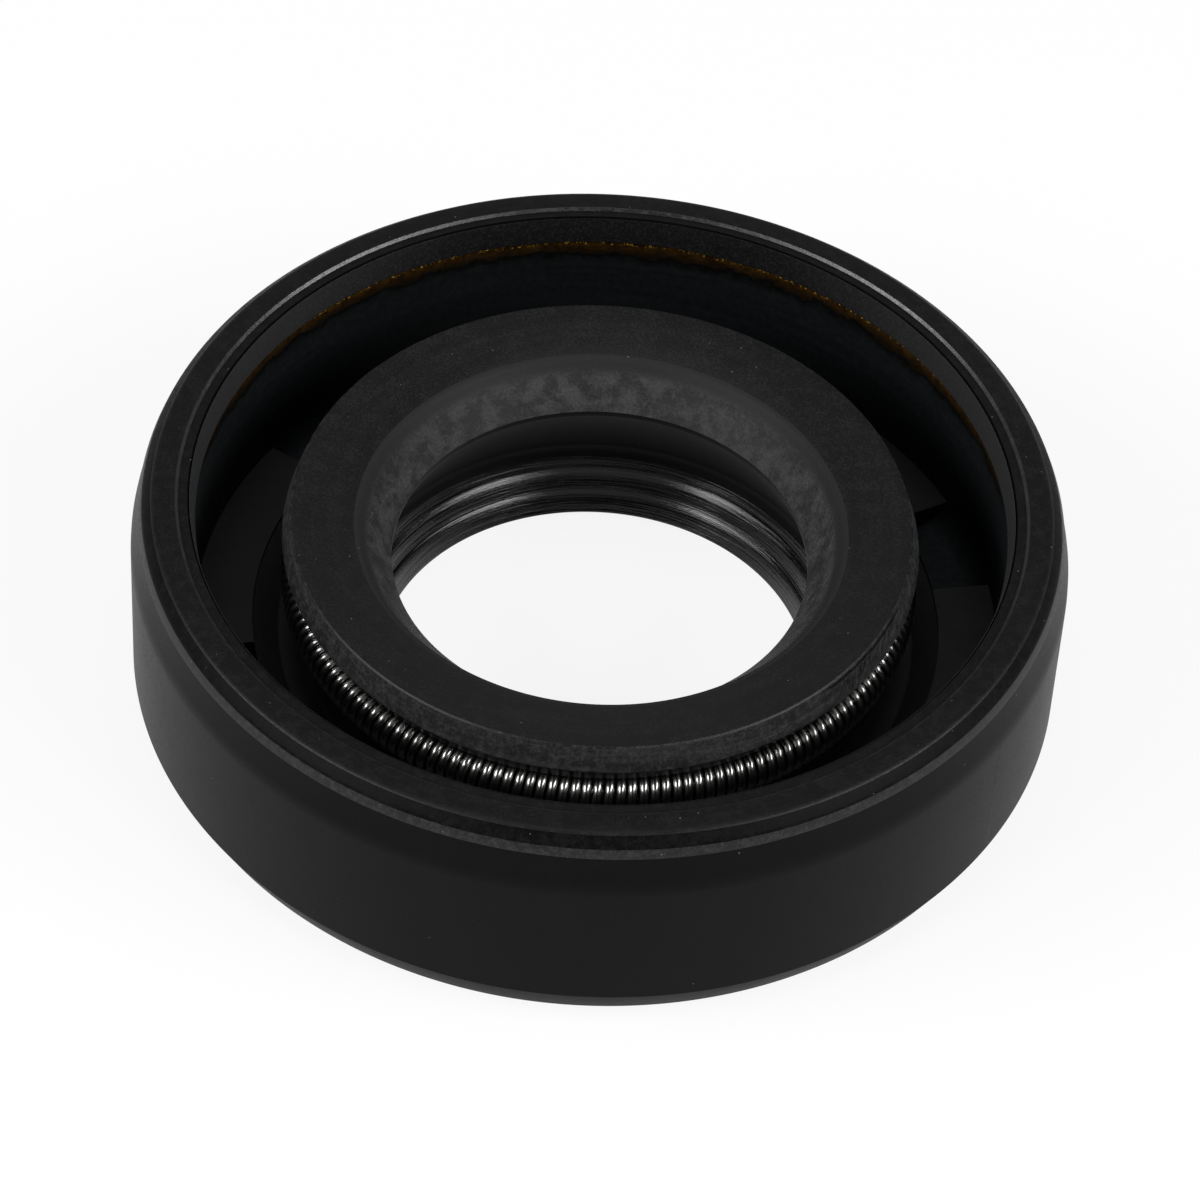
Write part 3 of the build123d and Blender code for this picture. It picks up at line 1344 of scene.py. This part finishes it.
    def flange_cover(self) -> list[Corner]:
        """Draws the section from the flange up to the pads' tops.

        Returns:
            Its corners. In a pocket they all move to the pocket's inner wall.
        """
        case = self.case
        bond = [(corner.radius, corner.height) for corner in reversed(case.inner_bend())
                if corner.height < self.pad_top]
        reach = (self.pad_top - case.bend_centre[1]) / case.bend
        across = case.bend_centre[0] + case.bend * sqrt(1 - reach**2)
        places = [(self.pad_edge, case.flange_top), *bond, (across, self.pad_top),
                  (self.pad_edge, self.pad_top)]
        surfaces = [Surface.BONDED] * (len(places) - 2) + [Surface.FLOOR] * 2
        corners = []
        for index, (place, surface) in enumerate(zip(places, surfaces)):
            height = case.flange_top + self.pad_thickness * index / (len(places) - 1)
            corners.append(Corner(*place, surface=surface, pocket=(self.pad_edge, height)))
        return corners

    def round_the_case(self) -> list[Corner]:
        """Draws the section where the rubber is bonded to the case, up to the pads' tops.

        Returns:
            Its corners.
        """
        case = self.case
        return [
            Corner(case.inner_radius, case.top),
            Corner(case.outer_radius, case.top),
            *reversed(case.outer_bend()),
            Corner(case.eye_radius, case.bottom),
            Corner(case.eye_radius, case.flange_top),
            *self.flange_cover(),
        ]

    def trough_and_groove(self) -> list[Corner]:
        """Draws the section from the pads, through the trough and up the neck, round the spring.

        Returns:
            Its corners.
        """
        spring = self.spring
        foot, head = self.neck_heights
        groove = arc_corners((spring.ring_radius, spring.height),
                             spring.coil_diameter / 2 + self.groove_clearance,
                             self.groove_foot, self.groove_brow, self.groove_step, Surface.GROOVE)
        return [
            Corner(self.pad_edge, self.pad_top - self.pad_side, 0.04, Surface.FLOOR),
            Corner(*self.trough_outer, 0.2, Surface.TROUGH),
            Corner(*self.trough_inner, 0.2, Surface.TROUGH),
            Corner(self.neck_radius, foot, 0.2, Surface.TROUGH),
            Corner(self.neck_radius, head, 0.1, Surface.GROOVE),
            *groove,
        ]

    def lips(self) -> list[Corner]:
        """Draws the section over the lip's head, through the bore, and to the recess.

        Returns:
            Its corners.
        """
        upper, lower = self.land
        return [
            Corner(*self.brow, 0.04, Surface.LIP_SIDE, 3),
            Corner(*self.head_side, 0.015, Surface.LIP_EDGE),
            Corner(*self.head_top, 0.015, Surface.LIP_TOP, 3),
            Corner(*self.cone_top, 0.3, Surface.OIL_CONE, 3),
            Corner(self.lip_radius, upper, 0.01, Surface.UNDERCUT),
            Corner(self.lip_radius, lower, 0.03, Surface.UNDERCUT, 3),
            *self.dust_lip(),
            Corner(*self.dust_edge, 0.02, Surface.AIR_SIDE),
            Corner(*self.dust_foot, 0.02, Surface.BACK),
            Corner(*self.recess_inner, 0.1, Surface.BACK),
            Corner(*self.recess_outer, 0.2, Surface.BACK),
        ]

    def dust_lip(self) -> list[Corner]:
        """Draws the dust lip's upper side, from the crease down: a cone with two soft steps.

        Returns:
            Its corners.
        """
        crease = Vector(self.crease)
        slope = Vector(self.dust_edge) - crease
        inward = Vector((slope.y, -slope.x)).normalized()
        corners = [Corner(*crease, 0.35, Surface.UNDERCUT)]
        for row in range(self.crease_rows, self.dust_rows):
            share = row / self.dust_rows
            offs = [(share * slope.length - place) / self.step_width for place in self.step_places]
            bulge = sum((1 + tanh(off)) / 2 - share for off in offs) * self.step_rise
            spot = crease + slope * share + inward * bulge
            corners.append(Corner(*spot, surface=Surface.AIR_SIDE))
        return corners

    def bearings(self) -> list[tuple[float, bool]]:
        """Gives each column's bearing, and whether it is cut by a pocket.

        Returns:
            Bearings in radians with their flags. A pocket's ends have two columns each.
        """
        half = radians(self.pocket_angle / 2)
        first = radians(self.pocket_bearing)
        middles = [first + tau * pocket / self.pocket_count for pocket in range(self.pocket_count)]
        ends = [(middle - half, middle + half) for middle in middles]
        step = tau / self.columns
        found: list[tuple[float, bool]] = []
        for column in range(self.columns):
            bearing = column * step
            offs = [min(abs(bearing - end) for end in pair) for pair in ends]
            if min(offs) < step * self.column_room:
                continue
            found.append((bearing, any(low < bearing < high for low, high in ends)))
        for low, high in ends:
            found += [(low - self.seam, False), (low + self.seam, True)]
            found += [(high - self.seam, True), (high + self.seam, False)]
        return sorted(found)

    def build(self) -> bpy.types.Object:
        """Turns the moulding, with its pockets, and dresses each surface.

        Returns:
            The finished piece.
        """
        rings = section_rings(
            self.outside() + self.rim_inside() + self.round_the_case()
            + self.trough_and_groove() + self.lips())
        columns = self.bearings()
        points: list[Triple] = []
        for bearing, cut in columns:
            for ring in rings:
                radius, height = ring.pocket if cut else ring.place
                points.append((radius * cos(bearing), radius * sin(bearing), height))
        piece = mesh_piece("moulded_rubber", points, loop_faces(len(columns), len(rings)))
        surfaces = list(RUBBER_FINISHES)
        slots = [surfaces.index(ring.surface) for ring in rings] * len(columns)
        piece.data.polygons.foreach_set("material_index", slots)
        for surface, finish in RUBBER_FINISHES.items():
            piece.data.materials.append(finish.material(f"rubber_{surface.value}"))
        weld(piece)
        smooth(piece, self.sharp_angle)
        return piece


# --------------------------------------------------------------------------------------- studio


@dataclass(frozen=True)
class Lamp:
    """A soft rectangular lamp aimed at the seal.

    Attributes:
        name: The lamp's name.
        bearing: Where it stands, in degrees: 0 is right, and 270 is the camera's side.
        elevation: How high it stands, in degrees.
        distance: How far away it is.
        size: Its width and height.
        radiance: How bright its face is, where 1 is white.
    """

    name: str
    bearing: float
    elevation: float
    distance: float
    size: Pair
    radiance: float

    def build(self) -> None:
        """Hangs the lamp."""
        turn, rise = radians(self.bearing), radians(self.elevation)
        way = Vector((cos(turn) * cos(rise), sin(turn) * cos(rise), sin(rise)))
        light = bpy.data.lights.new(self.name, "AREA")
        light.shape = "RECTANGLE"
        light.size, light.size_y = self.size[0] * MM, self.size[1] * MM
        light.energy = self.radiance * pi * light.size * light.size_y
        lamp = bpy.data.objects.new(self.name, light)
        lamp.location = way * self.distance * MM
        lamp.rotation_euler = way.to_track_quat("Z", "Y").to_euler()
        bpy.context.scene.collection.objects.link(lamp)


@dataclass
class Studio:
    """The floor, the lamps and the camera.

    Attributes:
        rim_radius: Radius of the rim's flat, which the camera is measured by.
        rim_height: Height of the rim, at whose centre the camera is aimed.
        elevation: The camera's elevation over that point, in degrees.
        distance: Its distance from that point, in rim radii.
        roll: Its roll about the line to that point, in degrees.
        focal_pixels: Its focal length, in pixels of the image.
        image_width: The image's width and height in pixels.
        aim_off: Where that point lies from the image's middle, right and down in pixels.
        sensor_width: Width of its sensor.
        clip: How near and how far it sees, in metres.
        floor_reach: How far the floor reaches to each side.
        sky_levels: Strength of the surroundings' light from low down and from high up.
        sky_edges: How high the first ends and the second starts, where 1 is straight up.
        lamps: The lamps.
    """

    rim_radius: float = 12.05
    rim_height: float = 6.8
    elevation: float = 44.94
    distance: float = 12.0
    roll: float = -3.59
    focal_pixels: float = 5401.0
    image_width: float = 1200.0
    aim_off: Pair = (3.6, -106.0)
    sensor_width: float = 36.0
    clip: Pair = (0.001, 10.0)
    floor_reach: float = 900.0
    sky_levels: Pair = (0.28, 0.05)
    sky_edges: Pair = (0.55, 0.9)
    lamps: tuple[Lamp, ...] = (
        Lamp("left_lamp", 204, 37, 300, (230, 110), 8.5),
        Lamp("right_lamp", 336, 37, 300, (230, 110), 8.5),
        Lamp("top_lamp", 90, 86, 300, (160, 160), 1.3),
    )

    def camera(self) -> None:
        """Sets up the camera."""
        rise, roll = radians(self.elevation), radians(self.roll)
        back = Vector((0, -cos(rise), sin(rise)))
        right = Vector((1, 0, 0))
        level = Matrix((right, back.cross(right), back))
        aim = Vector((self.aim_off[0], -self.aim_off[1], -self.focal_pixels))
        pan = Vector((0, 0, -1)).rotation_difference(aim).to_matrix()
        turned = (pan @ Matrix.Rotation(roll, 3, "Z") @ level).transposed()
        lens = bpy.data.cameras.new("camera")
        lens.sensor_width = self.sensor_width
        lens.lens = self.sensor_width * self.focal_pixels / self.image_width
        lens.clip_start, lens.clip_end = self.clip
        camera = bpy.data.objects.new("camera", lens)
        place = (Vector((0, 0, self.rim_height)) + back * self.distance * self.rim_radius) * MM
        camera.matrix_world = Matrix.Translation(place) @ turned.to_4x4()
        bpy.context.scene.collection.objects.link(camera)
        bpy.context.scene.camera = camera

    def floor(self) -> None:
        """Lays the floor."""
        reach = self.floor_reach
        corners = [(-reach, -reach, 0), (reach, -reach, 0), (reach, reach, 0), (-reach, reach, 0)]
        floor = mesh_piece("floor", corners, [(0, 1, 2, 3)])
        floor.data.materials.append(PaperFinish().material("white_paper"))

    def surroundings(self) -> None:
        """Lights the surroundings, more from low down than from above."""
        world = bpy.data.worlds.new("surroundings")
        world.use_nodes = True
        nodes = NodeTree(world.node_tree)
        rise = nodes.split(nodes.add("ShaderNodeTexCoord").outputs["Generated"])["Z"]
        strength = nodes.ramp(rise, *self.sky_edges, *self.sky_levels)
        nodes.give(nodes.tree.nodes["Background"], color=grey(1.0), strength=strength)
        bpy.context.scene.world = world

    def build(self) -> None:
        """Sets up everything round the seal, and shows colours plainly."""
        bpy.context.scene.view_settings.view_transform = "Standard"
        self.camera()
        self.floor()
        self.surroundings()
        for lamp in self.lamps:
            lamp.build()


def main() -> None:
    """Builds the seal's pieces and the studio, and reports each piece."""
    Studio().build()
    for build_effect in (build_grain, build_ring_streaks, build_scuffs, build_dust, build_fissures):
        build_effect()
    case, spring = MetalCase(), GarterSpring()
    rubber = RubberBody(case, spring)
    seat(case.build(), "metal_case")
    seat(spring.build(), "garter_spring")
    seat(rubber.build(), "rubber_body")


if __name__ == "__main__":
    logging.basicConfig(level=logging.INFO, format="%(name)s %(message)s")
    main()
